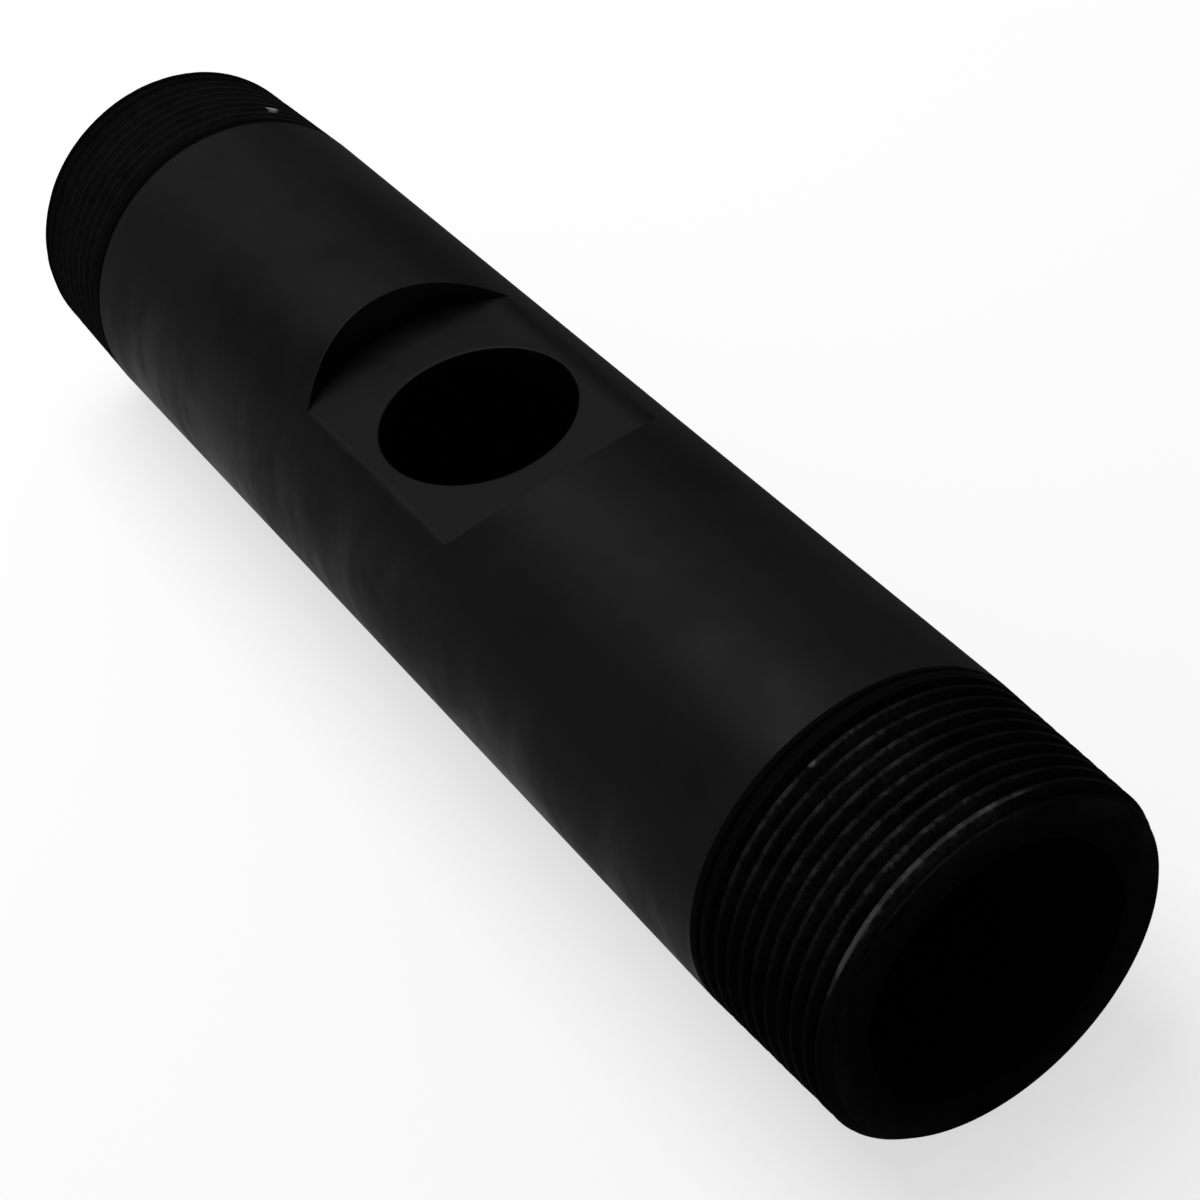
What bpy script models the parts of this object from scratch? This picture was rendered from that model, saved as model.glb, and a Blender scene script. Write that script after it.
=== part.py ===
"""A threaded pipe nipple with a spot-faced side port, modelled at its real size.

The nipple is one length of heavy-wall steel pipe. It lies along X with its side port facing up (+Z), and the
origin is on the pipe's axis, halfway along it. A right-hand taper pipe thread is cut on each end and runs out
into the body. Halfway along, a flat is spot-faced into the crown of the pipe, and a round port is drilled
through its floor into the bore.
"""

import math

import bmesh
import bpy

MM = 0.001

# Driving dimensions: the pipe
PIPE_LENGTH = 203.2 * MM
PIPE_OUTSIDE_DIAMETER = 48.26 * MM
PIPE_WALL = 7.14 * MM
BORE_CHAMFER = 0.6 * MM

# Driving dimensions: the taper pipe thread on each end
THREAD_LENGTH = 23.5 * MM
THREAD_PITCH = 2.2087 * MM
THREAD_CREST = 0.22 * MM
THREAD_RUN_OUT = 5.7 * MM
THREAD_TAPER = 1 / 16
THREAD_FLANK_ANGLE = math.radians(30)
END_CHAMFER_HEIGHT = 1.0 * MM
END_CHAMFER_LENGTH = 1.1 * MM

# Driving dimensions: the side port
SPOT_FACE_DIAMETER = 48.0 * MM
SPOT_FACE_DEPTH = 6.0 * MM
PORT_DIAMETER = 26.4 * MM
PORT_EDGE_BREAK = 0.4 * MM

# How finely round shapes are cut into flats, and how far a cutter stands out of what it cuts
FLATS_PER_TURN = 48
CUTTER_OVERRUN = 5.0 * MM
MERGE_DISTANCE = 0.02 * MM
SHARP_ANGLE = math.radians(25)

# Sizes that follow from the driving dimensions
PIPE_RADIUS = PIPE_OUTSIDE_DIAMETER / 2
BORE_RADIUS = PIPE_RADIUS - PIPE_WALL
PORT_RADIUS = PORT_DIAMETER / 2
SPOT_FACE_FLOOR = PIPE_RADIUS - SPOT_FACE_DEPTH
THREAD_HALF_GROOVE = (THREAD_PITCH - THREAD_CREST) / 2
THREAD_DEPTH = THREAD_HALF_GROOVE / math.tan(THREAD_FLANK_ANGLE)
THREAD_TURNS = math.ceil(THREAD_LENGTH / THREAD_PITCH) + 1

# Satin black coat
COAT_COLOUR = (0.013, 0.013, 0.014, 1.0)
COAT_ROUGHNESS = 0.45
COAT_METALLIC = 0.0


def clear_scene():
    """Removes whatever the file held before."""
    for obj in list(bpy.data.objects):
        bpy.data.objects.remove(obj, do_unlink=True)


def new_collection(name):
    """Adds a collection to the scene."""
    collection = bpy.data.collections.new(name)
    bpy.context.scene.collection.children.link(collection)
    return collection


def coat_material():
    """Black coat over steel."""
    material = bpy.data.materials.new("satin_black_coat")
    material.use_nodes = True
    shader = material.node_tree.nodes["Principled BSDF"]
    shader.inputs["Base Color"].default_value = COAT_COLOUR
    shader.inputs["Roughness"].default_value = COAT_ROUGHNESS
    shader.inputs["Metallic"].default_value = COAT_METALLIC
    material.diffuse_color = COAT_COLOUR
    return material


def turned(name, profile, collection):
    """Turns a profile of (radius, height) points, which starts and ends on the axis, about Z."""
    points = [(radius, 0.0, height) for radius, height in profile]
    mesh = bpy.data.meshes.new(name)
    mesh.from_pydata(points, [(i, i + 1) for i in range(len(points) - 1)], [])
    obj = bpy.data.objects.new(name, mesh)
    collection.objects.link(obj)
    screw = obj.modifiers.new("turn", "SCREW")
    screw.axis = "Z"
    screw.angle = 2 * math.pi
    screw.steps = FLATS_PER_TURN
    screw.render_steps = FLATS_PER_TURN
    screw.use_merge_vertices = True
    screw.merge_threshold = MERGE_DISTANCE
    return obj


def wrapped(name, rings, collection):
    """Wraps a grid round Z, one column for each ring, and closes it where the last ring meets the first.

    A ring gives the radius and height of a point from its place round the axis, as a share of a turn.
    """
    shell = bmesh.new()
    bmesh.ops.create_grid(shell, x_segments=len(rings) - 1, y_segments=FLATS_PER_TURN, size=0.5)
    for vert in shell.verts:
        column = round((vert.co.x + 0.5) * (len(rings) - 1))
        turn = vert.co.y + 0.5
        radius, height = rings[column](turn)
        angle = 2 * math.pi * turn
        vert.co = (radius * math.cos(angle), radius * math.sin(angle), height)
    bmesh.ops.remove_doubles(shell, verts=shell.verts, dist=MERGE_DISTANCE)
    bmesh.ops.dissolve_degenerate(shell, edges=shell.edges, dist=MERGE_DISTANCE)
    bmesh.ops.recalc_face_normals(shell, faces=shell.faces)
    mesh = bpy.data.meshes.new(name)
    shell.to_mesh(mesh)
    shell.free()
    obj = bpy.data.objects.new(name, mesh)
    collection.objects.link(obj)
    return obj


def as_cutter(obj):
    """Keeps an object out of the finished part."""
    obj.hide_render = True
    obj.display_type = "WIRE"
    return obj


def cut(target, cutter):
    """Takes the cutter's shape out of the target."""
    boolean = target.modifiers.new(f"cut_{cutter.name}", "BOOLEAN")
    boolean.operation = "DIFFERENCE"
    boolean.solver = "EXACT"
    boolean.object = cutter


def weld(obj):
    """Joins the corners that a cut leaves on top of each other."""
    weld_modifier = obj.modifiers.new("weld", "WELD")
    weld_modifier.merge_threshold = MERGE_DISTANCE


def shade(obj):
    """Applies the modifiers and shades the round faces smooth, with their edges left sharp."""
    evaluated = obj.evaluated_get(bpy.context.evaluated_depsgraph_get())
    mesh = bpy.data.meshes.new_from_object(evaluated)
    mesh.name = obj.name
    obj.modifiers.clear()
    obj.data = mesh
    mesh.shade_smooth()
    mesh.set_sharp_from_angle(angle=SHARP_ANGLE)


def thread_radius(distance, turn):
    """The outside of a threaded end, at a distance from its face and a share of a turn round it."""
    to_body = THREAD_LENGTH - distance
    crest = PIPE_RADIUS - to_body * THREAD_TAPER / 2
    off_root = abs((distance / THREAD_PITCH - turn) % 1.0 - 0.5) * THREAD_PITCH
    root = crest - THREAD_DEPTH * min(1.0, to_body / THREAD_RUN_OUT)
    groove = root + off_root / math.tan(THREAD_FLANK_ANGLE)
    chamfer = crest - END_CHAMFER_HEIGHT * max(0.0, 1.0 - distance / END_CHAMFER_LENGTH)
    return min(crest, groove, chamfer)


def thread_ring(winding, side):
    """A line that winds round a threaded end, so many turns from its face, within the thread's length.

    The end at the bottom is the one at the top turned over, so both threads are right-handed.
    """

    def place(turn):
        wound = 1.0 - turn if side > 0 else turn
        distance = min(max(0.0, (winding + wound - 1.0) * THREAD_PITCH), THREAD_LENGTH)
        return thread_radius(distance, wound), side * (PIPE_LENGTH / 2 - distance)

    return place


def plain_ring(radius, height):
    """A circle round the pipe's axis."""
    return lambda turn: (radius, height)


def pipe_rings():
    """Round the pipe's wall in section: along the outside from end to end, then back through the bore."""
    half = PIPE_LENGTH / 2
    half_groove = THREAD_HALF_GROOVE / THREAD_PITCH
    windings = [0.0]
    for turns in range(THREAD_TURNS):
        root = turns + 0.5
        windings += [root - half_groove, root, root + half_groove]
    face = plain_ring(BORE_RADIUS + BORE_CHAMFER, half)
    top = [thread_ring(winding, 1) for winding in windings]
    bottom = [thread_ring(winding, -1) for winding in reversed(windings)]
    bore = [
        plain_ring(BORE_RADIUS + BORE_CHAMFER, -half),
        plain_ring(BORE_RADIUS, BORE_CHAMFER - half),
        plain_ring(BORE_RADIUS, half - BORE_CHAMFER),
    ]
    return [face] + top + bottom + bore + [face]


def spot_face_cutter(collection):
    """The round cutter that mills the flat, from its floor to above the crown."""
    height = SPOT_FACE_DEPTH + CUTTER_OVERRUN
    bpy.ops.mesh.primitive_cylinder_add(
        vertices=FLATS_PER_TURN,
        radius=SPOT_FACE_DIAMETER / 2,
        depth=height,
        location=(0.0, 0.0, SPOT_FACE_FLOOR + height / 2),
    )
    cutter = bpy.context.object
    cutter.name = "spot_face_cutter"
    for holder in list(cutter.users_collection):
        holder.objects.unlink(cutter)
    collection.objects.link(cutter)
    return as_cutter(cutter)


def port_cutter(collection):
    """The drill for the port, from the pipe's axis up, with the cone that breaks its upper edge."""
    top = SPOT_FACE_FLOOR + CUTTER_OVERRUN
    profile = [
        (0.0, top),
        (PORT_RADIUS + PORT_EDGE_BREAK + CUTTER_OVERRUN, top),
        (PORT_RADIUS, SPOT_FACE_FLOOR - PORT_EDGE_BREAK),
        (PORT_RADIUS, 0.0),
        (0.0, 0.0),
    ]
    return as_cutter(turned("port_cutter", profile, collection))


def make_pipe(parts, cutters):
    """The pipe with its threaded ends, spot face and port."""
    pipe = wrapped("pipe", pipe_rings(), parts)
    pipe.rotation_euler = (0.0, math.pi / 2, 0.0)
    pipe.data.materials.append(coat_material())
    cut(pipe, spot_face_cutter(cutters))
    cut(pipe, port_cutter(cutters))
    weld(pipe)
    shade(pipe)


def main():
    clear_scene()
    parts = new_collection("threaded_pipe_nipple")
    cutters = new_collection("cutters")
    make_pipe(parts, cutters)


main()
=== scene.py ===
"""The look of a threaded pipe nipple: its cut threads, its spot-faced side port and its black finishes.

The nipple lies along X with its side port up (+Z), and the origin is on its axis, halfway along. Sizes here
are in millimetres, and a mesh is turned to metres as it is made. An angle round the pipe is measured from the
top (+Z) towards +Y.
"""

from __future__ import annotations

import logging
import math
from dataclasses import dataclass, field
from enum import Enum
from typing import Any

import bmesh
import bpy
import numpy as np
from mathutils import Matrix, Vector


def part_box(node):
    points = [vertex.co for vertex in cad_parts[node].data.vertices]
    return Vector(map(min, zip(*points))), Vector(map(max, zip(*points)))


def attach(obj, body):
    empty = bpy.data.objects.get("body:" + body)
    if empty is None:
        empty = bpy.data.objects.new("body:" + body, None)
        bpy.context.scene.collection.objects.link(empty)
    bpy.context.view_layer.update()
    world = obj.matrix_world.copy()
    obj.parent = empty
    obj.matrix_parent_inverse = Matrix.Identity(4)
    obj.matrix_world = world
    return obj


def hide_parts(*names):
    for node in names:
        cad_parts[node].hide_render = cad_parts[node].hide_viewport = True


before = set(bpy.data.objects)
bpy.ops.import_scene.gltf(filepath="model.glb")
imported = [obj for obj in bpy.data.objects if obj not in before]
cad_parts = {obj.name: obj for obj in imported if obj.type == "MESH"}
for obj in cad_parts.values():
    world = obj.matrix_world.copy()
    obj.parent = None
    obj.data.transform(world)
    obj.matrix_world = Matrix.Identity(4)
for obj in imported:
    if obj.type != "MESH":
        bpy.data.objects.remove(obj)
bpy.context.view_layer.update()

LOG = logging.getLogger("threaded_pipe_nipple")
MM = 0.001
MERGE = 0.001


class Surface(Enum):
    """The surfaces of the pipe that are finished differently, with the mesh slot of each."""

    COATED = 0
    THREADED = 1
    BORED = 2


class Layer(Enum):
    """The values kept on the pipe's vertices for its finishes to read."""

    EDGE = "edge_wear"
    CREST = "crest_wear"


def linear(hex_colour: str) -> tuple[float, float, float, float]:
    """Turns an sRGB colour into the linear values that a shader takes.

    Args:
        hex_colour: The colour as "#rrggbb".

    Returns:
        Red, green, blue and an alpha of 1.
    """
    levels = [int(hex_colour[i:i + 2], 16) / 255 for i in (1, 3, 5)]
    red, green, blue = (v / 12.92 if v <= 0.04045 else ((v + 0.055) / 1.055) ** 2.4 for v in levels)
    return red, green, blue, 1.0


def add(
    tree: bpy.types.NodeTree, kind: str, links: dict | None = None, out: int | str = 0, **settings: Any
) -> Any:
    """Adds a node to a tree.

    Args:
        tree: The tree that gets the node.
        kind: The node's type, as Blender names it.
        links: What goes into each input, by its name or place: a value, or the output of another node.
        out: Which output to give back.
        **settings: The node's own settings.

    Returns:
        The chosen output, or None for a node that has none.
    """
    node = tree.nodes.new(kind)
    for name, value in settings.items():
        setattr(node, name, value)
    for key, value in (links or {}).items():
        if isinstance(value, bpy.types.NodeSocket):
            tree.links.new(value, node.inputs[key])
        else:
            node.inputs[key].default_value = value
    return node.outputs[out] if len(node.outputs) else None


def repeats(size: float) -> float:
    """The texture scale, in repeats per metre, of a pattern that is so many millimetres wide."""
    return 1 / (size * MM)


def span(pair: tuple[float, float], unit: float = 1.0) -> dict[str, float]:
    """The inputs of a Map Range node that takes a pair of values to 0 and 1.

    Args:
        pair: The value that becomes 0, and the one that becomes 1.
        unit: What they are multiplied by.

    Returns:
        The two inputs, by name.
    """
    return {"From Min": pair[0] * unit, "From Max": pair[1] * unit}


def off_axis(tree: bpy.types.NodeTree, place: bpy.types.NodeSocket) -> bpy.types.NodeSocket:
    """Adds the nodes that measure how far a point is from the pipe's axis.

    Args:
        tree: The tree that gets the nodes.
        place: The point, in Object coordinates.

    Returns:
        The distance, in metres.
    """
    spoke = add(tree, "ShaderNodeVectorMath", {0: place, 1: (0.0, 1.0, 1.0)}, operation="MULTIPLY")
    return add(tree, "ShaderNodeVectorMath", {0: spoke}, out="Value", operation="LENGTH")


def new_material(name: str) -> tuple[bpy.types.Material, bpy.types.NodeTree, bpy.types.Node]:
    """Makes a material with a bare Principled shader.

    Args:
        name: The material's name.

    Returns:
        The material, its tree and its shader.
    """
    material = bpy.data.materials.new(name)
    material.use_nodes = True
    tree = material.node_tree
    return material, tree, tree.nodes["Principled BSDF"]


@dataclass(frozen=True)
class SatinPowderCoat:
    """Black polyester powder coat, sprayed from one side on blasted steel and baked.

    It gives the eye a soft sheen on near black. The sheen is patchy, because hands have wiped the coat round
    the pipe, long waves make it wander and a fine orange peel frays it. On the +Y shoulder the powder went on
    dry, so there is no sheen. The rounded edges of the flat are a little paler: partly thinner coat, partly a
    painted highlight.
    """

    dark: str = "#080808"
    pale: str = "#101010"
    # Paler edges: partly thinner coat, partly a painted highlight.
    edge: str = "#121212"
    sheen: float = 0.054
    smooth: float = 0.33
    dull: float = 0.62
    dry: float = 1.0
    dry_side: tuple[float, float] = (1.0, 13.0)
    dry_foot: tuple[float, float] = (2.0, 14.0)
    dry_shell: tuple[float, float] = (22.3, 23.9)
    dull_side: tuple[float, float] = (-10.0, -22.0)
    dull_share: float = 0.27
    wipe_share: tuple[float, float] = (0.2, 0.7)
    haze_range: tuple[float, float] = (0.35, 0.67)
    cloud_size: float = 34.0
    wipe_size: float = 5.5
    wipe_stretch: float = 0.35
    smudge_size: float = 7.0
    smudge_range: tuple[float, float] = (0.40, 0.62)
    smudge_least: float = 0.15
    wave_size: float = 19.0
    wave_height: float = 0.25
    wave_strength: float = 1.0
    peel_size: float = 1.3
    peel_height: float = 0.035
    peel_strength: float = 0.6

    def material(self) -> bpy.types.Material:
        """Builds the coat's material.

        Returns:
            The material, which reads Object coordinates.
        """
        material, tree, shader = new_material("satin_black_powder_coat")
        place = add(tree, "ShaderNodeTexCoord", out="Object")
        # The shoulder where the powder went on dry, though not the flat, and the side that it only grazed.
        side = add(tree, "ShaderNodeSeparateXYZ", {0: place}, out="Y")
        height = add(tree, "ShaderNodeSeparateXYZ", {0: place}, out="Z")
        dry = add(tree, "ShaderNodeMapRange", {
            "Value": side, **span(self.dry_side, MM)}, interpolation_type="SMOOTHSTEP")
        above = add(tree, "ShaderNodeMapRange", {
            "Value": height, **span(self.dry_foot, MM)}, interpolation_type="SMOOTHSTEP")
        outside = add(tree, "ShaderNodeMapRange", {
            "Value": off_axis(tree, place), **span(self.dry_shell, MM)})
        dry = add(tree, "ShaderNodeMath", {0: dry, 1: above}, operation="MULTIPLY")
        dry = add(tree, "ShaderNodeMath", {0: dry, 1: outside}, operation="MULTIPLY")
        grazed = add(tree, "ShaderNodeMapRange", {"Value": side, **span(self.dull_side, MM)})
        # Clouds as large as a hand's grip, and wipe marks round the grazed side: duller and a shade paler.
        cloud = add(tree, "ShaderNodeTexNoise", {
            "Vector": place, "Scale": repeats(self.cloud_size), "Detail": 4.0, "Roughness": 0.6,
            "Distortion": 0.6})
        round_way = add(tree, "ShaderNodeMapping", {
            "Vector": place, "Scale": (1.0, self.wipe_stretch, self.wipe_stretch)}, out="Vector")
        wipe = add(tree, "ShaderNodeTexNoise", {
            "Vector": round_way, "Scale": repeats(self.wipe_size), "Detail": 3.0, "Roughness": 0.55,
            "Distortion": 0.4})
        wipe = add(tree, "ShaderNodeMath", {0: wipe, 1: 0.5}, operation="SUBTRACT")
        share = add(tree, "ShaderNodeMapRange", {
            "Value": grazed, "To Min": self.wipe_share[0], "To Max": self.wipe_share[1]})
        haze = add(tree, "ShaderNodeMath", {0: wipe, 1: share, 2: cloud}, operation="MULTIPLY_ADD")
        haze = add(tree, "ShaderNodeMapRange", {"Value": haze, **span(self.haze_range)})
        colour = add(tree, "ShaderNodeMix", {
            "Factor": haze, "A": linear(self.dark), "B": linear(self.pale)}, out="Result", data_type="RGBA")
        # The rounded edges of the flat, a little paler: partly thinner coat, partly a painted highlight.
        # Broken up, because powder draws back from a corner unevenly.
        smudge = add(tree, "ShaderNodeTexNoise", {
            "Vector": place, "Scale": repeats(self.smudge_size), "Detail": 3.0, "Roughness": 0.55})
        edge = add(tree, "ShaderNodeAttribute", out="Fac", attribute_name=Layer.EDGE.value)
        patchy = add(tree, "ShaderNodeMapRange", {
            "Value": smudge, **span(self.smudge_range), "To Min": self.smudge_least})
        edge = add(tree, "ShaderNodeMath", {0: edge, 1: patchy}, operation="MULTIPLY")
        colour = add(tree, "ShaderNodeMix", {
            "Factor": edge, "A": colour, "B": linear(self.edge)}, out="Result", data_type="RGBA")
        roughness = add(tree, "ShaderNodeMapRange", {
            "Value": haze, "To Min": self.smooth, "To Max": self.dull})
        grazed = add(tree, "ShaderNodeMath", {0: grazed, 1: self.dull_share}, operation="MULTIPLY")
        dry = add(tree, "ShaderNodeMath", {0: dry, 1: grazed}, operation="MAXIMUM")
        roughness = add(tree, "ShaderNodeMix", {"Factor": dry, "A": roughness, "B": self.dry}, out="Result")
        # Orange peel on long waves. The peel is drawn about twice its real width, so that it shows at all.
        wave = add(tree, "ShaderNodeTexNoise", {
            "Vector": place, "Scale": repeats(self.wave_size), "Detail": 1.0, "Roughness": 0.4})
        peel = add(tree, "ShaderNodeTexNoise", {
            "Vector": place, "Scale": repeats(self.peel_size), "Detail": 1.5, "Roughness": 0.5})
        waved = add(tree, "ShaderNodeBump", {
            "Strength": self.wave_strength, "Distance": self.wave_height * MM, "Height": wave}, out="Normal")
        peeled = add(tree, "ShaderNodeBump", {
            "Strength": self.peel_strength, "Distance": self.peel_height * MM,
            "Height": peel, "Normal": waved}, out="Normal")
        tree.links.new(colour, shader.inputs["Base Color"])
        tree.links.new(roughness, shader.inputs["Roughness"])
        tree.links.new(peeled, shader.inputs["Normal"])
        shader.inputs["Specular IOR Level"].default_value = self.sheen
        return material


@dataclass(frozen=True)
class OiledBlackOxide:
    """Black oxide, oiled, on threads cut with a die.

    It gives the eye a deep black. On the side of the +X end that the light falls on it is painted a shade
    paler, and all round the -X end it is a shade paler, but for its crests, painted dark as shade. On the lit
    side the crests of the +X end carry a painted highlight in broken grey lines, most on the last turn by the
    face. A few chips are bright steel: each is its middle (x, y, z), its size and how bare it is.
    """

    dark: str = "#070707"
    pale: str = "#1a1a1a"
    # The colour of the painted highlight on the crests.
    painted_highlight: str = "#383838"
    bright: str = "#9a9996"
    sheen: float = 0.003
    smooth: float = 0.65
    dull: float = 0.85
    # Painted light: how far the paler side of the +X end reaches, from none to full.
    lit_reach: tuple[float, float] = (14.0, 24.0)
    dry_end: tuple[float, float] = (10.0, -10.0)
    dry_end_share: float = 1.0
    dry_end_even: float = 0.5
    # The side that the painted light and highlight face, as an angle from the top towards +Y.
    lit_side: float = -18.0
    last_turn_reach: float = 3.5
    highlight_reach: tuple[float, float] = (19.5, 23.0)
    last_turn_highlight: float = 0.4
    stain_size: float = 6.0
    stain_range: tuple[float, float] = (0.30, 0.66)
    highlight_size: float = 3.2
    highlight_range: tuple[float, float] = (0.43, 0.67)
    pit_size: float = 0.9
    pit_range: tuple[float, float] = (0.48, 0.60)
    pit_share: float = 0.7
    pit_end_share: float = 0.4
    tear_size: float = 0.55
    tear_stretch: float = 0.35
    tear_height: float = 0.03
    tear_strength: float = 0.5
    chips: tuple[tuple[float, float, float, float, float], ...] = (
        (-85.0, 14.5, 19.0, 1.2, 1.0),
        (82.2, -6.5, 23.1, 0.6, 0.12),
    )
    chip_core: float = 0.5

    def material(self) -> bpy.types.Material:
        """Builds the oxide's material.

        Returns:
            The material, which reads Object coordinates.
        """
        material, tree, shader = new_material("oiled_black_oxide_thread")
        place = add(tree, "ShaderNodeTexCoord", out="Object")
        # Above 0 where the crests take the painted highlight. Below 0 where oil keeps the thread dark as it
        # runs out, and on the crests of the -X end, painted dark as shade.
        crest = add(tree, "ShaderNodeAttribute", out="Fac", attribute_name=Layer.CREST.value)
        oiled = add(tree, "ShaderNodeMapRange", {"Value": crest, **span((0.0, -1.0))})
        # Painted light: the +X end is paler, in patches, on the side that the light falls on. The -X end is
        # paler all round, but for its crests, painted dark as shade. Oil keeps the thread dark where it runs
        # out.
        way = math.radians(self.lit_side)
        reach = add(tree, "ShaderNodeVectorMath", {
            0: place, 1: (0.0, math.sin(way), math.cos(way))}, out="Value", operation="DOT_PRODUCT")
        top = add(tree, "ShaderNodeMapRange", {"Value": reach, **span(self.lit_reach, MM)})
        along = add(tree, "ShaderNodeSeparateXYZ", {0: place}, out="X")
        dry_end = add(tree, "ShaderNodeMapRange", {"Value": along, **span(self.dry_end, MM)})
        top = add(tree, "ShaderNodeMix", {"Factor": dry_end, "A": top, "B": self.dry_end_share}, out="Result")
        top = add(tree, "ShaderNodeMath", {0: top, 1: oiled}, operation="SUBTRACT", use_clamp=True)
        stain = add(tree, "ShaderNodeTexNoise", {
            "Vector": place, "Scale": repeats(self.stain_size), "Detail": 4.0, "Roughness": 0.6})
        stain = add(tree, "ShaderNodeMapRange", {"Value": stain, **span(self.stain_range)})
        dry = add(tree, "ShaderNodeMath", {
            0: dry_end, 1: self.dry_end_even, 2: stain}, operation="MULTIPLY_ADD", use_clamp=True)
        dry = add(tree, "ShaderNodeMath", {0: dry, 1: top}, operation="MULTIPLY")
        colour = add(tree, "ShaderNodeMix", {
            "Factor": dry, "A": linear(self.dark), "B": linear(self.pale)}, out="Result", data_type="RGBA")
        # Painted highlight on the crests, in short lengths on the lit side, and further round on the last
        # turn by the face.
        last = add(tree, "ShaderNodeMath", {0: crest, 1: 1.0}, operation="SUBTRACT", use_clamp=True)
        reach = add(tree, "ShaderNodeMath", {
            0: last, 1: self.last_turn_reach * MM, 2: reach}, operation="MULTIPLY_ADD")
        wear_and_highlight = add(tree, "ShaderNodeMapRange", {
            "Value": reach, **span(self.highlight_reach, MM)}, interpolation_type="SMOOTHSTEP")
        highlight_mask = add(tree, "ShaderNodeTexNoise", {
            "Vector": place, "Scale": repeats(self.highlight_size), "Detail": 4.0, "Roughness": 0.65})
        highlight_mask = add(tree, "ShaderNodeMapRange", {"Value": highlight_mask, **span(self.highlight_range)})
        highlight_mask = add(tree, "ShaderNodeMath", {0: last, 1: self.last_turn_highlight, 2: highlight_mask}, operation="MULTIPLY_ADD")
        highlight_mask = add(tree, "ShaderNodeMath", {0: highlight_mask, 1: crest}, operation="MULTIPLY")
        highlight_mask = add(tree, "ShaderNodeMath", {0: highlight_mask, 1: wear_and_highlight}, operation="MULTIPLY", use_clamp=True)
        colour = add(tree, "ShaderNodeMix", {
            "Factor": highlight_mask, "A": colour, "B": linear(self.painted_highlight)}, out="Result", data_type="RGBA")
        # Pits that still hold oil, fewer of them on the dry end.
        pit = add(tree, "ShaderNodeTexNoise", {
            "Vector": place, "Scale": repeats(self.pit_size), "Detail": 2.0, "Roughness": 0.6})
        pit = add(tree, "ShaderNodeMapRange", {
            "Value": pit, **span(self.pit_range), "To Max": self.pit_share})
        pit = add(tree, "ShaderNodeMath", {0: pit, 1: last}, operation="SUBTRACT", use_clamp=True)
        pitted = add(tree, "ShaderNodeMapRange", {
            "Value": dry_end, "To Min": 1.0, "To Max": self.pit_end_share})
        pit = add(tree, "ShaderNodeMath", {0: pit, 1: pitted}, operation="MULTIPLY")
        colour = add(tree, "ShaderNodeMix", {
            "Factor": pit, "A": colour, "B": linear(self.dark)}, out="Result", data_type="RGBA")
        # Chips: bare steel.
        bare = 0.0
        for *middle, size, share in self.chips:
            away = add(tree, "ShaderNodeVectorMath", {
                0: place, 1: tuple(Vector(middle) * MM)}, out="Value", operation="DISTANCE")
            chip = add(tree, "ShaderNodeMapRange", {
                "Value": away, **span((size, self.chip_core * size), MM), "To Max": share})
            bare = add(tree, "ShaderNodeMath", {0: chip, 1: bare}, operation="MAXIMUM")
        colour = add(tree, "ShaderNodeMix", {
            "Factor": bare, "A": colour, "B": linear(self.bright)}, out="Result", data_type="RGBA")
        roughness = add(tree, "ShaderNodeMapRange", {
            "Value": stain, "To Min": self.smooth, "To Max": self.dull})
        # Torn metal: the short scratches that a die leaves round the thread.
        stretched = add(tree, "ShaderNodeMapping", {
            "Vector": place, "Scale": (1.0, self.tear_stretch, self.tear_stretch)}, out="Vector")
        tear = add(tree, "ShaderNodeTexNoise", {
            "Vector": stretched, "Scale": repeats(self.tear_size), "Detail": 2.0, "Roughness": 0.5})
        torn = add(tree, "ShaderNodeBump", {
            "Strength": self.tear_strength, "Distance": self.tear_height * MM, "Height": tear}, out="Normal")
        tree.links.new(colour, shader.inputs["Base Color"])
        tree.links.new(bare, shader.inputs["Metallic"])
        tree.links.new(roughness, shader.inputs["Roughness"])
        tree.links.new(torn, shader.inputs["Normal"])
        shader.inputs["Specular IOR Level"].default_value = self.sheen
        return material


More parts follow.
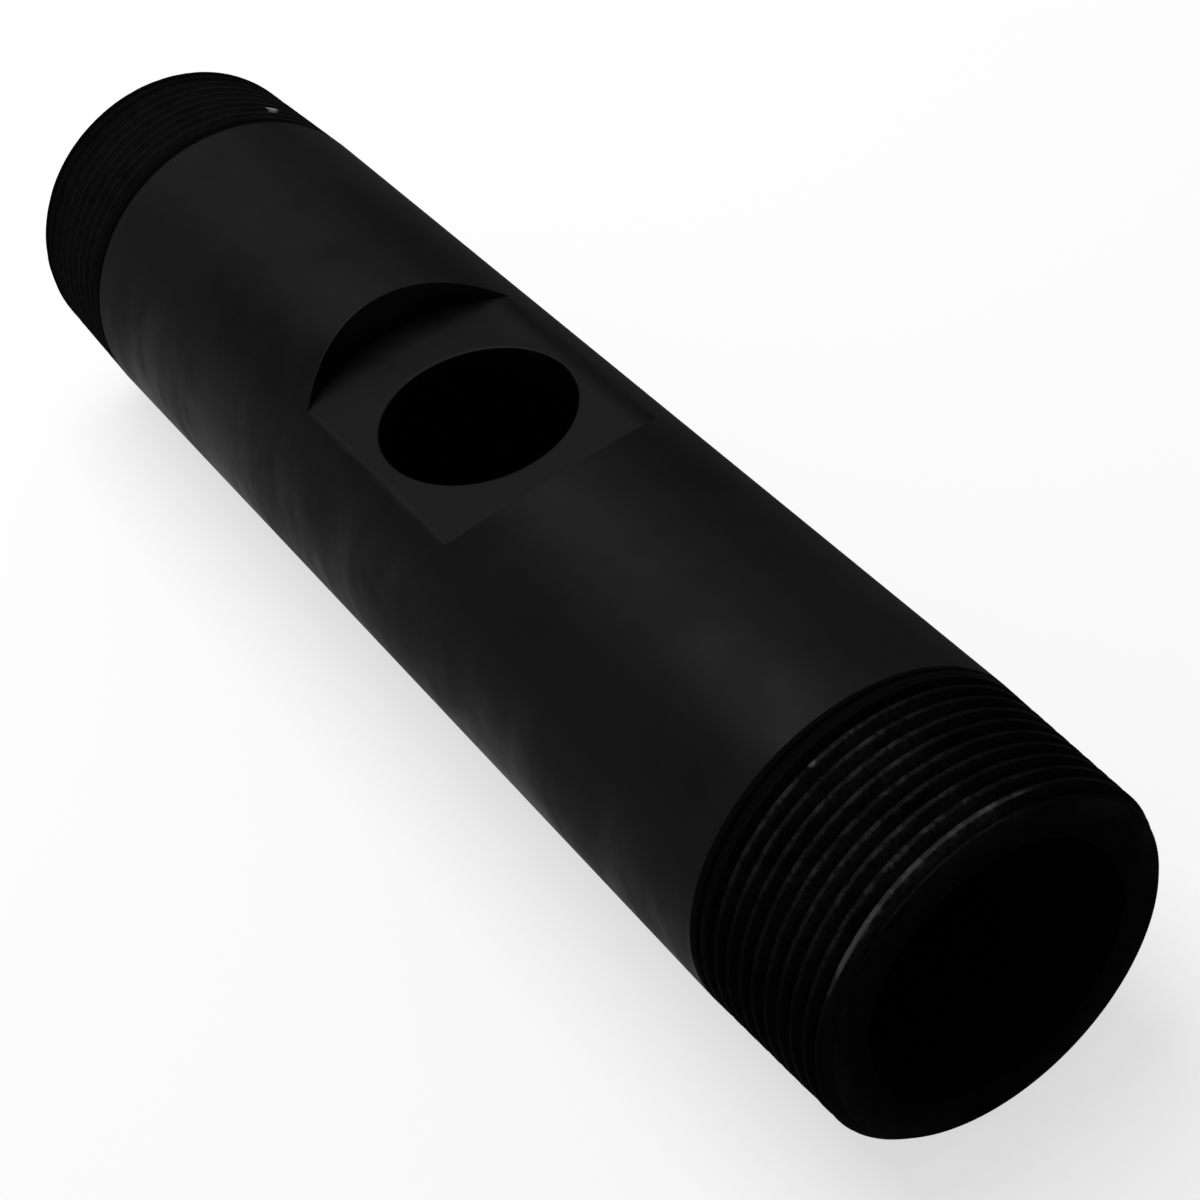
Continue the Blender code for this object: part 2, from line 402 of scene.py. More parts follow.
@dataclass(frozen=True)
class MillScale:
    """Mill scale in the bore of drawn pipe, and soot-black oxide on its sawn ends and in the drilled port.

    It gives the eye a dead black with streaks along the way the pipe was drawn. Towards the rim of each end
    the soot is rubbed off in patches, and the face is a shade paler.
    """

    dark: str = "#020202"
    pale: str = "#050505"
    rim: str = "#0f0f0f"
    rim_reach: tuple[float, float] = (18.8, 22.0)
    soot_size: float = 8.0
    soot_range: tuple[float, float] = (0.38, 0.62)
    sheen: float = 0.002
    smooth: float = 0.60
    dull: float = 0.80
    streak_width: float = 1.6
    streak_length: float = 34.0
    streak_range: tuple[float, float] = (0.35, 0.68)
    scale_height: float = 0.06
    scale_strength: float = 0.6

    def material(self) -> bpy.types.Material:
        """Builds the scale's material.

        Returns:
            The material, which reads Object coordinates.
        """
        material, tree, shader = new_material("mill_scale_bore")
        place = add(tree, "ShaderNodeTexCoord", out="Object")
        ratio = self.streak_width / self.streak_length
        drawn = add(tree, "ShaderNodeMapping", {"Vector": place, "Scale": (ratio, 1.0, 1.0)}, out="Vector")
        streak = add(tree, "ShaderNodeTexNoise", {
            "Vector": drawn, "Scale": repeats(self.streak_width), "Detail": 4.0, "Roughness": 0.6})
        share = add(tree, "ShaderNodeMapRange", {"Value": streak, **span(self.streak_range)})
        colour = add(tree, "ShaderNodeMix", {
            "Factor": share, "A": linear(self.dark), "B": linear(self.pale)}, out="Result", data_type="RGBA")
        # The rims: of the surfaces with this finish, only the ends reach so far from the axis.
        outer = add(tree, "ShaderNodeMapRange", {"Value": off_axis(tree, place), **span(self.rim_reach, MM)})
        soot = add(tree, "ShaderNodeTexNoise", {
            "Vector": place, "Scale": repeats(self.soot_size), "Detail": 3.0, "Roughness": 0.6})
        soot = add(tree, "ShaderNodeMapRange", {"Value": soot, **span(self.soot_range)})
        outer = add(tree, "ShaderNodeMath", {0: outer, 1: soot}, operation="MULTIPLY")
        colour = add(tree, "ShaderNodeMix", {
            "Factor": outer, "A": colour, "B": linear(self.rim)}, out="Result", data_type="RGBA")
        roughness = add(tree, "ShaderNodeMapRange", {
            "Value": share, "To Min": self.smooth, "To Max": self.dull})
        scaly = add(tree, "ShaderNodeBump", {
            "Strength": self.scale_strength, "Distance": self.scale_height * MM,
            "Height": streak}, out="Normal")
        tree.links.new(colour, shader.inputs["Base Color"])
        tree.links.new(roughness, shader.inputs["Roughness"])
        tree.links.new(scaly, shader.inputs["Normal"])
        shader.inputs["Specular IOR Level"].default_value = self.sheen
        return material


def round_pipe(x: Any, radius: Any, angle: Any) -> np.ndarray:
    """Places points round the pipe.

    Args:
        x: How far along the pipe each point is.
        radius: How far from the axis.
        angle: The angle from the top towards +Y, in radians.

    Returns:
        The points, with their coordinates on the last axis.
    """
    x, radius, angle = np.broadcast_arrays(x, radius, angle)
    return np.stack([x, radius * np.sin(angle), radius * np.cos(angle)], axis=-1)


class Skin:
    """Gathers patches of surface and sews them into one closed mesh."""

    def __init__(self) -> None:
        """Starts with no surface."""
        self.mesh = bmesh.new()
        self.edge = self.mesh.verts.layers.float.new(Layer.EDGE.value)
        self.crest = self.mesh.verts.layers.float.new(Layer.CREST.value)

    def add_grid(
        self, rows: np.ndarray, surface: Surface, closed: bool, wear_and_highlight: np.ndarray | None = None
    ) -> None:
        """Adds a patch of quads.

        Args:
            rows: The points, in millimetres, as rows of equal length.
            surface: How the patch is finished.
            closed: Whether each row is a ring.
            wear_and_highlight: How pale an edge is at each row, from 0 to 1: thin coat and painted highlight.
        """
        points = []
        for i, row in enumerate(rows):
            ring = [self.mesh.verts.new(point * MM) for point in row]
            for vert in ring:
                vert[self.edge] = 0.0 if wear_and_highlight is None else float(wear_and_highlight[i])
            points.append(ring)
        count = len(points[0])
        for low, high in zip(points, points[1:]):
            for i in range(count if closed else count - 1):
                j = (i + 1) % count
                face = self.mesh.faces.new((low[i], low[j], high[j], high[i]))
                face.material_index = surface.value

    def add_mesh(self, mesh: bpy.types.Mesh, surface: Surface, wear_and_highlight: float) -> None:
        """Adds a finished mesh.

        Args:
            mesh: The mesh, in metres.
            surface: How it is finished.
            wear_and_highlight: The painted highlight on its crests, as a share of what the mesh says, or
                below 0, painted shade.
        """
        before, old = len(self.mesh.faces), len(self.mesh.verts)
        self.mesh.from_mesh(mesh)
        self.mesh.faces.ensure_lookup_table()
        self.mesh.verts.ensure_lookup_table()
        for i in range(before, len(self.mesh.faces)):
            self.mesh.faces[i].material_index = surface.value
        for i in range(old, len(self.mesh.verts)):
            if self.mesh.verts[i][self.crest] > 0.0:
                self.mesh.verts[i][self.crest] *= wear_and_highlight

    def finish_ends(self, x: float, surface: Surface) -> None:
        """Finishes the flat faces square to X on both ends.

        Args:
            x: How far from the middle they are, in millimetres.
            surface: How they are finished.
        """
        for face in self.mesh.faces:
            if all(abs(abs(vert.co.x) - x * MM) < MERGE * MM for vert in face.verts):
                face.material_index = surface.value

    def sew(self, name: str, sharp_angle: float) -> bpy.types.Mesh:
        """Merges the patches where they meet and turns every face outwards.

        Args:
            name: The mesh's name.
            sharp_angle: Edges that turn by more than this many degrees are left sharp.

        Returns:
            The closed mesh.
        """
        bmesh.ops.remove_doubles(self.mesh, verts=self.mesh.verts, dist=MERGE * MM)
        bmesh.ops.dissolve_degenerate(self.mesh, edges=self.mesh.edges, dist=MERGE * MM)
        bmesh.ops.recalc_face_normals(self.mesh, faces=self.mesh.faces)
        open_edges = sum(1 for edge in self.mesh.edges if not edge.is_manifold)
        volume = self.mesh.calc_volume(signed=True)
        LOG.info(
            "%s: %d faces, %d open edges, %.0f mm3", name, len(self.mesh.faces), open_edges, volume / MM ** 3)
        mesh = bpy.data.meshes.new(name)
        self.mesh.to_mesh(mesh)
        self.mesh.free()
        mesh.shade_smooth()
        mesh.set_sharp_from_angle(angle=math.radians(sharp_angle))
        return mesh


@dataclass
class ThreadedEnd:
    """One end of the pipe: a taper pipe thread that runs out into the body, a chamfer and the end face.

    Its crests keep, for the finish to read, their share of the painted highlight, most of it by the face, and
    oil where it runs out.
    """

    end_x: float
    body_radius: float
    face_bore: float
    around: int
    pitch: float = 25.4 / 11.5
    start: float = 0.75
    length: float = 23.5
    taper: float = 1 / 16
    root_share: float = 1 / 12
    flank_share: float = 1 / 3
    flank_slope: float = math.sqrt(3)
    run_out: float = 3.3
    chamfer_height: float = 1.0
    chamfer_length: float = 1.1
    ding: float = 0.10
    ding_size: float = 2.4
    per_turn: int = 12
    lead_in: float = 1.5
    seed: float = 4.0
    crown_power: float = 6.0
    bite_start: float = 0.52
    bite_gain: float = 4.0
    # The crests' share of the painted highlight, and how much more of it there is by the face.
    crest_wear: float = 0.35
    face_highlight: float = 2.4
    face_power: float = 10.0
    oil_gain: float = 4.0

    def sizes(self) -> dict[str, float]:
        """The sizes that the thread's node tree takes.

        Returns:
            The value of each named input: a length is in metres.
        """
        turns = self.length / self.pitch + 1 + self.start
        return {
            "Columns": math.ceil(self.per_turn * turns) + 2,
            "Columns per Turn": self.per_turn,
            "Start": self.start,
            "Pitch": self.pitch * MM,
            "Thread Length": self.length * MM,
            "Taper Fall": self.taper / 2,
            "End X": self.end_x * MM,
            "Body Radius": self.body_radius * MM,
            "Face Bore": self.face_bore * MM,
            "Half Root": self.root_share * self.pitch / 2 * MM,
            "Groove Depth": self.flank_share * self.pitch * self.flank_slope * MM,
            "Run-out": self.run_out * MM,
            "Chamfer Height": self.chamfer_height * MM,
            "Chamfer Length": self.chamfer_length * MM,
            "Ding Depth": self.ding * MM,
            "Ding Scale": repeats(self.ding_size),
            "Seed": self.seed,
        }

    def tree(self) -> bpy.types.NodeTree:
        """Builds the node tree that winds a flat grid into the thread.

        Each column of the grid follows the helix, so that crests and roots are clean lines. Columns that
        would start before the face, or end past the thread, fold up on those circles.

        Returns:
            The tree, with an input for each size, the count of points round the pipe, and the finish.
        """
        tree = bpy.data.node_groups.new("taper_thread", "GeometryNodeTree")
        for name in self.sizes():
            tree.interface.new_socket(name, in_out="INPUT", socket_type="NodeSocketFloat")
        tree.interface.new_socket("Around", in_out="INPUT", socket_type="NodeSocketInt")
        tree.interface.new_socket("Finish", in_out="INPUT", socket_type="NodeSocketMaterial")
        tree.interface.new_socket("Geometry", in_out="OUTPUT", socket_type="NodeSocketGeometry")
        given = tree.nodes.new("NodeGroupInput").outputs
        values = {name: given[name] for name in self.sizes()}
        columns = add(tree, "ShaderNodeMath", {0: given["Columns"], 1: 1.0}, operation="ADD")
        rows = add(tree, "ShaderNodeMath", {0: given["Around"], 1: 1.0}, operation="ADD")
        grid = add(tree, "GeometryNodeMeshGrid", {
            "Size X": 1.0, "Size Y": 1.0, "Vertices X": columns, "Vertices Y": rows}, out="Mesh")
        flat = tree.nodes.new("ShaderNodeSeparateXYZ")
        tree.links.new(add(tree, "GeometryNodeInputPosition"), flat.inputs[0])
        values["grid x"], values["grid y"] = flat.outputs[0], flat.outputs[1]

        def work(steps: tuple[tuple, ...]) -> None:
            """Adds arithmetic nodes.

            Args:
                steps: For each node, its result's name, its operation and its operands.
            """
            for result, operation, *operands in steps:
                links = {i: values.get(operand, operand) for i, operand in enumerate(operands)}
                values[result] = add(tree, "ShaderNodeMath", links, operation=operation)

        work((
            ("across", "ADD", "grid x", 0.5),
            ("around", "ADD", "grid y", 0.5),
            ("column", "MULTIPLY", "across", "Columns"),
            ("past face", "SUBTRACT", "column", self.lead_in),
            ("turns", "DIVIDE", "past face", "Columns per Turn"),
            ("turns", "ADD", "turns", "around"),
            ("turns", "SUBTRACT", "turns", 1.0),
            ("turns", "SUBTRACT", "turns", "Start"),
            ("depth", "MULTIPLY", "turns", "Pitch"),
            ("depth", "MAXIMUM", "depth", 0.0),
            ("depth", "MINIMUM", "depth", "Thread Length"),
            ("to body", "SUBTRACT", "Thread Length", "depth"),
            ("fall", "MULTIPLY", "to body", "Taper Fall"),
            ("cone", "SUBTRACT", "Body Radius", "fall"),
            ("run", "DIVIDE", "to body", "Run-out"),
            ("run", "MINIMUM", "run", 1.0),
            ("groove", "MULTIPLY", "run", "Groove Depth"),
            ("root", "SUBTRACT", "cone", "groove"),
            ("phase", "DIVIDE", "depth", "Pitch"),
            ("phase", "SUBTRACT", "phase", "around"),
            ("phase", "ADD", "phase", "Start"),
            ("phase", "SUBTRACT", "phase", 0.5),
            ("phase", "FRACT", "phase"),
            ("off root", "SUBTRACT", "phase", 0.5),
            ("off root", "ABSOLUTE", "off root"),
            ("off root", "MULTIPLY", "off root", "Pitch"),
            ("off root", "SUBTRACT", "off root", "Half Root"),
            ("off root", "MAXIMUM", "off root", 0.0),
            ("flank", "MULTIPLY", "off root", self.flank_slope),
            ("cut", "ADD", "root", "flank"),
            ("slope", "DIVIDE", "depth", "Chamfer Length"),
            ("slope", "SUBTRACT", 1.0, "slope"),
            ("slope", "MAXIMUM", "slope", 0.0),
            ("slope", "MULTIPLY", "slope", "Chamfer Height"),
            ("crest", "SUBTRACT", "cone", "slope"),
            ("radius", "MINIMUM", "crest", "cut"),
            ("turn", "MULTIPLY", "around", 2 * math.pi),
            ("sine", "SINE", "turn"),
            ("cosine", "COSINE", "turn"),
            ("x", "SUBTRACT", "End X", "depth"),
            ("y", "MULTIPLY", "radius", "sine"),
            ("z", "MULTIPLY", "radius", "cosine"),
        ))
        # Dings: shallow bites out of the crests, none on the circle where the thread meets the body.
        place = add(tree, "ShaderNodeCombineXYZ", {0: values["x"], 1: values["y"], 2: values["z"]})
        values["noise"] = add(tree, "ShaderNodeTexNoise", {
            "Vector": place, "W": given["Seed"], "Scale": given["Ding Scale"],
            "Detail": 2.0, "Roughness": 0.6}, noise_dimensions="4D")
        work((
            ("height", "SUBTRACT", "cone", "Groove Depth"),
            ("height", "SUBTRACT", "radius", "height"),
            ("height", "DIVIDE", "height", "Groove Depth"),
            ("height", "MAXIMUM", "height", 0.0),
            ("crown", "POWER", "height", self.crown_power),
            ("bite", "SUBTRACT", "noise", self.bite_start),
            ("bite", "MULTIPLY", "bite", self.bite_gain),
            ("bite", "MAXIMUM", "bite", 0.0),
            ("bite", "MULTIPLY", "bite", "crown"),
            ("bite", "MULTIPLY", "bite", "run"),
            ("bite", "MULTIPLY", "bite", "Ding Depth"),
            ("radius", "SUBTRACT", "radius", "bite"),
            ("on face", "LESS_THAN", "column", 0.5),
            ("inward", "SUBTRACT", "Face Bore", "radius"),
            ("radius", "MULTIPLY_ADD", "on face", "inward", "radius"),
            ("y", "MULTIPLY", "radius", "sine"),
            ("z", "MULTIPLY", "radius", "cosine"),
            ("off face", "SUBTRACT", 1.0, "on face"),
            # Where the crests take the painted highlight: most by the face, none on it, less where oil stays.
            ("oil", "SUBTRACT", 1.0, "run"),
            ("oil", "MULTIPLY", "oil", self.oil_gain),
            ("near face", "DIVIDE", "to body", "Thread Length"),
            ("near face", "POWER", "near face", self.face_power),
            ("near face", "MULTIPLY_ADD", "near face", self.face_highlight, self.crest_wear),
            ("highlight share", "MULTIPLY", "crown", "near face"),
            ("highlight share", "MULTIPLY", "highlight share", "off face"),
            ("highlight share", "SUBTRACT", "highlight share", "oil"),
        ))
        place = add(tree, "ShaderNodeCombineXYZ", {0: values["x"], 1: values["y"], 2: values["z"]})
        wound = add(tree, "GeometryNodeStoreNamedAttribute", {
            "Geometry": grid, "Name": Layer.CREST.value, "Value": values["highlight share"],
        }, data_type="FLOAT", domain="POINT")
        wound = add(tree, "GeometryNodeSetPosition", {"Geometry": wound, "Position": place})
        wound = add(tree, "GeometryNodeMergeByDistance", {"Geometry": wound, "Distance": MERGE * MM})
        wound = add(tree, "GeometryNodeFlipFaces", {"Mesh": wound})
        wound = add(tree, "GeometryNodeRealizeInstances", {"Geometry": wound})
        wound = add(tree, "GeometryNodeSetMaterial", {"Geometry": wound, "Material": given["Finish"]})
        add(tree, "NodeGroupOutput", {"Geometry": wound})
        return tree

    def build(self, finish: bpy.types.Material) -> bpy.types.Mesh:
        """Winds the thread.

        Args:
            finish: The material of the thread.

        Returns:
            The thread with its end face, in metres, at the +X end of the pipe.
        """
        tree = self.tree()
        holder = bpy.data.objects.new("thread_blank", bpy.data.meshes.new("thread_blank"))
        bpy.context.scene.collection.objects.link(holder)
        winding = holder.modifiers.new("winding", "NODES")
        winding.node_group = tree
        chosen = {**self.sizes(), "Around": self.around, "Finish": finish}
        for item in tree.interface.items_tree:
            if item.in_out == "INPUT":
                winding[item.identifier] = chosen[item.name]
        evaluated = holder.evaluated_get(bpy.context.evaluated_depsgraph_get())
        mesh = bpy.data.meshes.new_from_object(evaluated)
        holder.modifiers.remove(winding)
        bpy.data.objects.remove(holder, do_unlink=True)
        return mesh


@dataclass
class SidePort:
    """The flat spot-faced into the crown of the pipe, and the round port drilled through its floor.

    Its rows of points go outwards from the port to a window of the pipe, whose points are also those of the
    pipe round it.
    """

    body_radius: float
    bore_radius: float
    around: int
    spot_diameter: float = 48.0
    spot_depth: float = 6.0
    port_diameter: float = 26.4
    port_edge: float = 0.2
    edge_round: float = 0.8
    rim_round: float = 0.12
    corner_ramp: float = 2.0
    rim_share: float = 0.45
    window_share: float = 1 / 6
    along: int = 80
    under_rows: int = 5
    round_rows: int = 5
    floor_rows: tuple[float, ...] = (0.04, 0.3, 0.65, 0.96, 1.0)
    outer_rows: tuple[float, ...] = (0.05, 0.2, 0.4, 0.6, 0.8, 1.0)
    pale_edge_arc: tuple[float, float] = (0.1, 0.9)
    halvings: int = 60

    def __post_init__(self) -> None:
        """Works out where the flat ends and how large a window of the pipe it is set in."""
        self.floor = self.body_radius - self.spot_depth
        self.spot_radius = self.spot_diameter / 2
        self.port_radius = self.port_diameter / 2
        self.side_angle = math.acos(self.floor / self.body_radius)
        corner_y = self.body_radius * math.sin(self.side_angle)
        self.corner_x = math.sqrt(self.spot_radius ** 2 - corner_y ** 2)
        self.steps = round(self.around * self.window_share)
        self.window_angle = 2 * math.pi * self.steps / self.around
        self.window_x = self.window_angle / self.side_angle * self.corner_x

    def window(self) -> tuple[np.ndarray, np.ndarray, np.ndarray]:
        """The points round the window, one for each spoke of the patch.

        Returns:
            The place along the pipe and the angle of each point, and whether it is beside a straight edge of
            the flat.
        """
        angles = np.linspace(-self.window_angle, self.window_angle, 2 * self.steps + 1)[:-1]
        places = np.linspace(self.window_x, -self.window_x, self.along + 1)[:-1]
        x = np.concatenate([
            np.full(len(angles), self.window_x), places,
            np.full(len(angles), -self.window_x), -places])
        angle = np.concatenate([
            angles, np.full(len(places), self.window_angle),
            -angles, np.full(len(places), -self.window_angle)])
        straight = np.zeros(len(x), dtype=bool)
        straight[len(angles):len(angles) + len(places)] = True
        straight[2 * len(angles) + len(places):] = True
        return x, angle, straight

    def rim(self, x: np.ndarray, angle: np.ndarray, straight: np.ndarray) -> np.ndarray:
        """How far along each spoke the rim of the flat is.

        Args:
            x: Where the spokes end, along the pipe.
            angle: Where they end, round the pipe.
            straight: Which spokes meet a straight edge.

        Returns:
            The share of each spoke from the middle of the port to the rim.
        """
        low, high = np.zeros(len(x)), np.ones(len(x))
        for _ in range(self.halvings):
            share = (low + high) / 2
            across = self.body_radius * np.sin(share * angle)
            inside = (share * x) ** 2 + across ** 2 < self.spot_radius ** 2
            low, high = np.where(inside, share, low), np.where(inside, high, share)
        share = (low + high) / 2
        share[straight] = self.side_angle / np.abs(angle[straight])
        return share

    def build(self, skin: Skin) -> None:
        """Adds the flat, the port and the pipe around them, from spoke to spoke.

        Args:
            skin: The pipe's surface.
        """
        x, angle, straight = self.window()
        share = self.rim(x, angle, straight)
        rim = round_pipe(share * x, self.body_radius, share * angle)
        reach = np.hypot(rim[:, 0], rim[:, 1])
        way = rim[:, :2] / reach[:, None]
        height = np.where(straight, 0.0, rim[:, 2] - self.floor)
        ramp = np.clip((self.corner_x - np.abs(rim[:, 0])) / self.corner_ramp, 0.0, 1.0)
        soft = np.where(
            straight, self.edge_round * ramp, np.minimum(self.rim_round, self.rim_share * height))

        def at(radius: Any, z: Any) -> np.ndarray:
            """Points on each spoke, at a distance from the port's axis and a height."""
            radius, z = np.broadcast_to(radius, reach.shape), np.broadcast_to(z, reach.shape)
            return np.concatenate([way * radius[:, None], z[:, None]], axis=1)

        # The bore under the window, and the wall of the port.
        bottom_angle = np.arcsin(self.port_radius * way[:, 1] / self.bore_radius)
        bottom = round_pipe(self.port_radius * way[:, 0], self.bore_radius, bottom_angle)
        under = []
        for t in np.linspace(0.0, 1.0, self.under_rows):
            place, turn = bottom[:, 0] + (x - bottom[:, 0]) * t, bottom_angle + (angle - bottom_angle) * t
            under.append(round_pipe(place, self.bore_radius, turn))
        skin.add_grid(np.array(under), Surface.BORED, True)
        port_top = self.floor - self.port_edge
        wall = [bottom, at(self.port_radius, port_top)]
        skin.add_grid(np.array(wall), Surface.BORED, True)

        # The broken edge of the port, and the floor.
        rows, wear_and_highlight = [], []
        for turn in np.linspace(0.0, math.pi / 2, self.round_rows):
            rows.append(at(
                self.port_radius + self.port_edge * (1 - math.cos(turn)),
                port_top + self.port_edge * math.sin(turn)))
            wear_and_highlight.append(0.0)
        start = self.port_radius + self.port_edge
        stop = reach - np.where(straight, soft, 0.0)
        for t in self.floor_rows:
            rows.append(at(start + (stop - start) * t, self.floor))
            wear_and_highlight.append(0.0)

        # The rounded edge of the flat, and the pipe from there to the window.
        low = at(np.where(straight, stop, reach), np.where(straight, self.floor, rim[:, 2] - soft))
        flat = np.stack([share * x, share * angle * self.body_radius], axis=1)
        out = np.stack([(1 - share) * x, (1 - share) * angle * self.body_radius], axis=1)
        out /= np.linalg.norm(out, axis=1)[:, None]
        lip = flat + out * soft[:, None]
        high = round_pipe(lip[:, 0], self.body_radius, lip[:, 1] / self.body_radius)
        # Paler along the middle of the rounded edge: partly thinner coat, partly a painted highlight.
        pale_from, pale_to = self.pale_edge_arc
        for t in np.linspace(0.0, 1.0, self.round_rows):
            rows.append((1 - t) ** 2 * low + 2 * t * (1 - t) * rim + t ** 2 * high)
            wear_and_highlight.append(math.sin(math.pi * (pale_from + (pale_to - pale_from) * t)))
        far = np.stack([x, angle * self.body_radius], axis=1)
        for t in self.outer_rows:
            at_t = lip + (far - lip) * t
            rows.append(round_pipe(at_t[:, 0], self.body_radius, at_t[:, 1] / self.body_radius))
            wear_and_highlight.append(0.0)
        skin.add_grid(np.array(rows), Surface.COATED, True, np.array(wear_and_highlight))

    def rest_of_ring(self) -> tuple[np.ndarray, np.ndarray]:
        """The pipe below the window.

        Returns:
            The places along it and the angles round it of its points.
        """
        places = np.linspace(-self.window_x, self.window_x, self.along + 1)
        count = self.around - 2 * self.steps
        return places, np.linspace(self.window_angle, 2 * math.pi - self.window_angle, count + 1)


@dataclass
class Pipe:
    """The nipple: a length of heavy-wall pipe with both of its threaded ends and its side port."""

    length: float
    outside_diameter: float
    wall: float = 7.14
    bore_chamfer: float = 0.6
    around: int = 192
    body_rows: int = 7
    bore_rows: int = 9
    sharp_angle: float = 25.0
    # Each end's share of the crests' painted highlight; below 0 the crests are painted dark as shade.
    end_crest_share: tuple[float, float] = (1.0, -1.6)
    coat: SatinPowderCoat = field(default_factory=SatinPowderCoat)
    oxide: OiledBlackOxide = field(default_factory=OiledBlackOxide)
    scale: MillScale = field(default_factory=MillScale)

    @classmethod
    def from_frame(cls) -> Pipe:
        """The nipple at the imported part's own length and diameter."""
        low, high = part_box("pipe")
        return cls(length=(high[0] - low[0]) / MM, outside_diameter=(high[1] - low[1]) / MM)

    def build(self) -> bpy.types.Object:
        """Builds the nipple as one closed mesh with its finishes.

        Returns:
            The nipple's object, at the origin.
        """
        radius, half = self.outside_diameter / 2, self.length / 2
        bore = radius - self.wall
        coat, oxide, scale = self.coat.material(), self.oxide.material(), self.scale.material()
        end = ThreadedEnd(half, radius, bore + self.bore_chamfer, self.around)
        port = SidePort(radius, bore, self.around)
        skin = Skin()
        port.build(skin)
        places, angles = port.rest_of_ring()
        skin.add_grid(round_pipe(places[:, None], radius, angles[None, :]), Surface.COATED, False)
        skin.add_grid(round_pipe(places[:, None], bore, angles[None, :]), Surface.BORED, False)
        ring = np.linspace(0.0, 2 * math.pi, self.around + 1)[None, :-1]
        body = np.linspace(port.window_x, half - end.length, self.body_rows)[:, None]
        inside = np.linspace(port.window_x, half - self.bore_chamfer, self.bore_rows)
        inside = np.append(inside, half)[:, None]
        inside_radius = np.where(inside == half, bore + self.bore_chamfer, bore)
        for side in (1, -1):
            skin.add_grid(round_pipe(side * body, radius, ring), Surface.COATED, True)
            skin.add_grid(round_pipe(side * inside, inside_radius, ring), Surface.BORED, True)
        thread = end.build(oxide)
        skin.add_mesh(thread, Surface.THREADED, self.end_crest_share[0])
        thread.transform(Matrix.Rotation(math.pi, 4, "Z"))
        skin.add_mesh(thread, Surface.THREADED, self.end_crest_share[1])
        bpy.data.meshes.remove(thread)
        skin.finish_ends(half, Surface.BORED)
        mesh = skin.sew("threaded_pipe", self.sharp_angle)
        finishes = {Surface.COATED: coat, Surface.THREADED: oxide, Surface.BORED: scale}
        for surface in sorted(Surface, key=lambda one: one.value):
            mesh.materials.append(finishes[surface])
        pipe = bpy.data.objects.new("threaded_pipe", mesh)
        bpy.context.scene.collection.objects.link(pipe)
        return pipe

    def dress(self) -> list[bpy.types.Object]:
        """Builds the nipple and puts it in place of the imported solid.

        Returns:
            The pieces made.
        """
        pipe = self.build()
        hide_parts("pipe")
        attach(pipe, "root")
        return [pipe]


@dataclass(frozen=True)
class Softbox:
    """A soft lamp that hangs level and shines down.

    Attributes:
        name: The lamp's name.
        place: Where its middle is, in millimetres.
        along: Its size along X, in millimetres.
        across: Its size along Y, in millimetres.
        watts: Its power.
    """

    name: str
    place: tuple[float, float, float]
    along: float
    across: float
    watts: float

    def build(self) -> None:
        """Hangs the lamp."""
        data = bpy.data.lights.new(self.name, "AREA")
        data.shape = "RECTANGLE"
        data.size, data.size_y = self.along * MM, self.across * MM
        data.energy = self.watts
        lamp = bpy.data.objects.new(self.name, data)
        lamp.location = Vector(self.place) * MM
        bpy.context.scene.collection.objects.link(lamp)


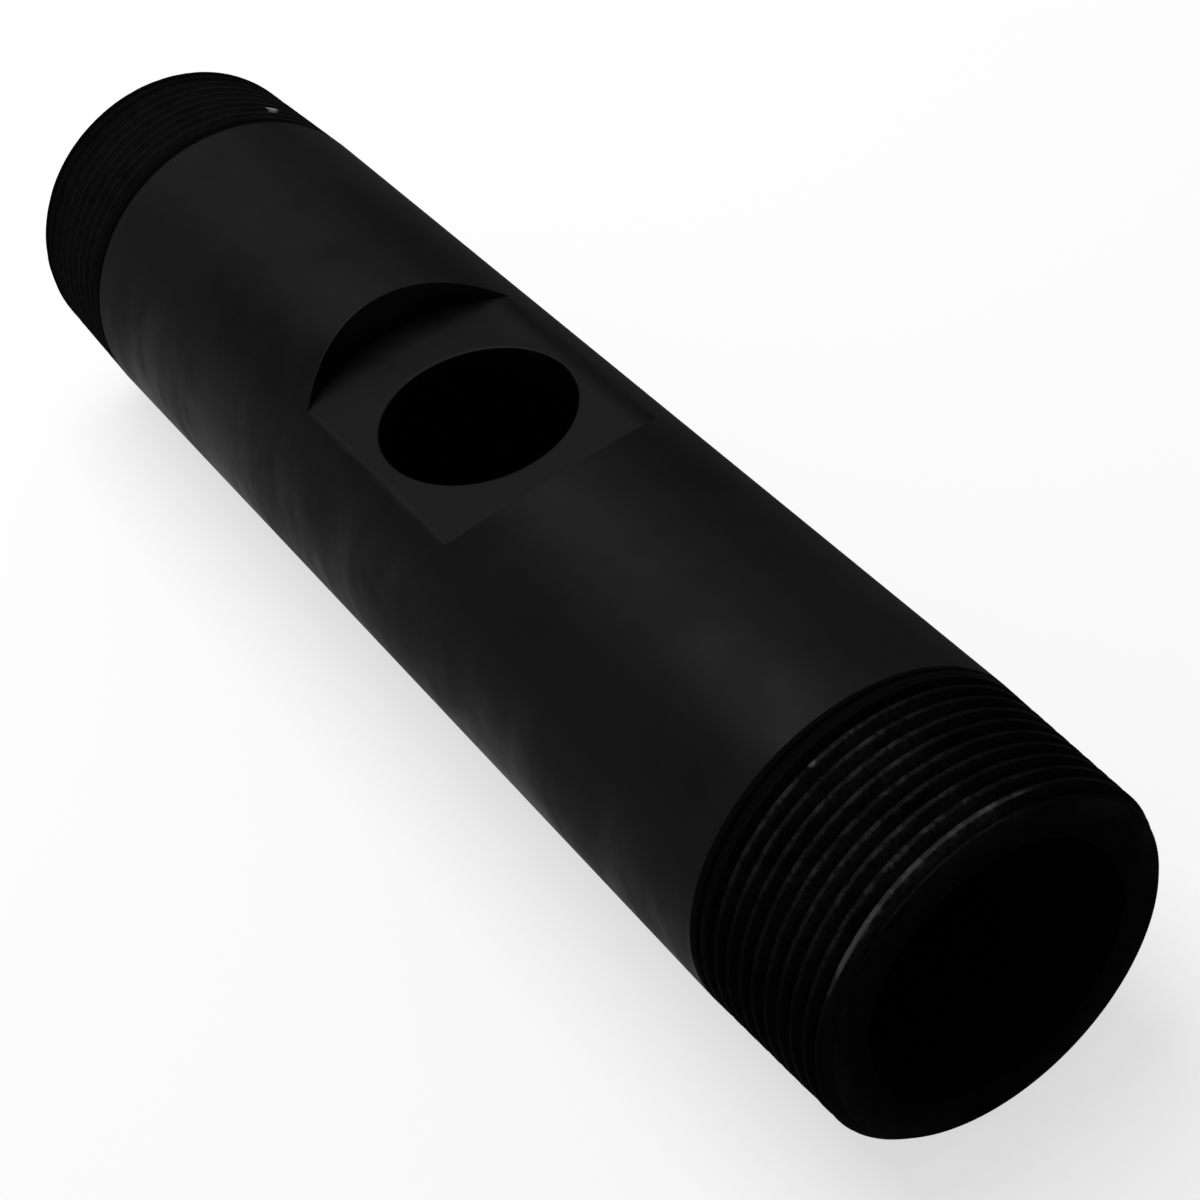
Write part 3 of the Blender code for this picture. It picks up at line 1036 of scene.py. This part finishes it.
@dataclass
class Studio:
    """A sheet of pale paper in a white room, a soft lamp overhead, and the camera."""

    floor_z: float
    floor_size: float = 6000.0
    paper: str = "#f6f6f6"
    paper_roughness: float = 0.9
    paper_glow: float = 0.65
    room: str = "#ffffff"
    room_strength: float = 0.30
    room_seen: float = 0.75
    camera_place: tuple[float, float, float] = (252.336, -93.600, 231.759)
    camera_aim: tuple[float, float, float] = (22.079, 0.031, 0.0)
    camera_roll: float = 16.245
    lens: float = 80.103
    sensor: float = 36.0
    clip: tuple[float, float] = (10.0, 20000.0)
    lamps: tuple[Softbox, ...] = (
        Softbox("overhead_softbox", (-330.0, 0.0, 760.0), 760.0, 620.0, 6.8),
    )

    def build_floor(self) -> None:
        """Lays the paper that the nipple lies on."""
        half = self.floor_size / 2 * MM
        z = self.floor_z * MM
        mesh = bpy.data.meshes.new("paper_floor")
        corners = [(-half, -half, z), (half, -half, z), (half, half, z), (-half, half, z)]
        mesh.from_pydata(corners, [], [(0, 1, 2, 3)])
        material, tree, shader = new_material("matt_white_paper")
        shader.inputs["Base Color"].default_value = linear(self.paper)
        shader.inputs["Roughness"].default_value = self.paper_roughness
        shader.inputs["Specular IOR Level"].default_value = 0.0
        # To the eye and in reflections the paper is partly white of itself, so the shadow on it is light.
        rays = tree.nodes.new("ShaderNodeLightPath").outputs
        seen = add(tree, "ShaderNodeMath", {
            0: rays["Is Camera Ray"], 1: rays["Is Glossy Ray"]}, operation="MAXIMUM")
        seen = add(tree, "ShaderNodeMath", {0: seen, 1: rays["Is Transmission Ray"]}, operation="MAXIMUM")
        share = add(tree, "ShaderNodeMath", {0: seen, 1: self.paper_glow}, operation="MULTIPLY")
        white = add(tree, "ShaderNodeEmission", {"Color": linear(self.room), "Strength": 1.0})
        sheet = add(tree, "ShaderNodeMixShader", {0: share, 1: shader.outputs[0], 2: white})
        tree.links.new(sheet, tree.nodes["Material Output"].inputs["Surface"])
        mesh.materials.append(material)
        floor = bpy.data.objects.new("paper_floor", mesh)
        bpy.context.scene.collection.objects.link(floor)

    def build_room(self) -> None:
        """Sets the even light of the room. To the eye it is as pale as the far floor, so no horizon shows."""
        world = bpy.data.worlds.new("pale_room")
        world.use_nodes = True
        tree = world.node_tree
        light = tree.nodes["Background"]
        light.inputs["Color"].default_value = linear(self.room)
        seen = add(tree, "ShaderNodeLightPath", out="Is Camera Ray")
        strength = add(tree, "ShaderNodeMapRange", {
            "Value": seen, "To Min": self.room_strength, "To Max": self.room_seen})
        tree.links.new(strength, light.inputs["Strength"])
        bpy.context.scene.world = world

    def build_camera(self) -> None:
        """Sets up the camera where the photograph was taken from."""
        data = bpy.data.cameras.new("camera")
        data.sensor_fit = "HORIZONTAL"
        data.sensor_width = self.sensor
        data.lens = self.lens
        data.clip_start, data.clip_end = self.clip[0] * MM, self.clip[1] * MM
        camera = bpy.data.objects.new("camera", data)
        place = Vector(self.camera_place) * MM
        look = Vector(self.camera_aim) * MM - place
        turn = look.to_track_quat("-Z", "Y").to_matrix().to_4x4()
        roll = Matrix.Rotation(-math.radians(self.camera_roll), 4, "Z")
        camera.matrix_world = Matrix.Translation(place) @ turn @ roll
        bpy.context.scene.collection.objects.link(camera)
        bpy.context.scene.camera = camera

    def build(self) -> None:
        """Builds the floor, the light and the camera."""
        self.build_floor()
        self.build_room()
        for lamp in self.lamps:
            lamp.build()
        self.build_camera()
        bpy.context.scene.view_settings.view_transform = "Standard"


def main() -> None:
    """Builds the nipple and its studio, and reports each piece."""
    logging.basicConfig(level=logging.INFO, format="%(message)s")
    pipe = Pipe.from_frame()
    for piece in pipe.dress():
        LOG.info("%s: %d triangles", piece.name, sum(len(face.vertices) - 2 for face in piece.data.polygons))
    Studio(floor_z=-pipe.outside_diameter / 2).build()


if __name__ == "__main__":
    main()
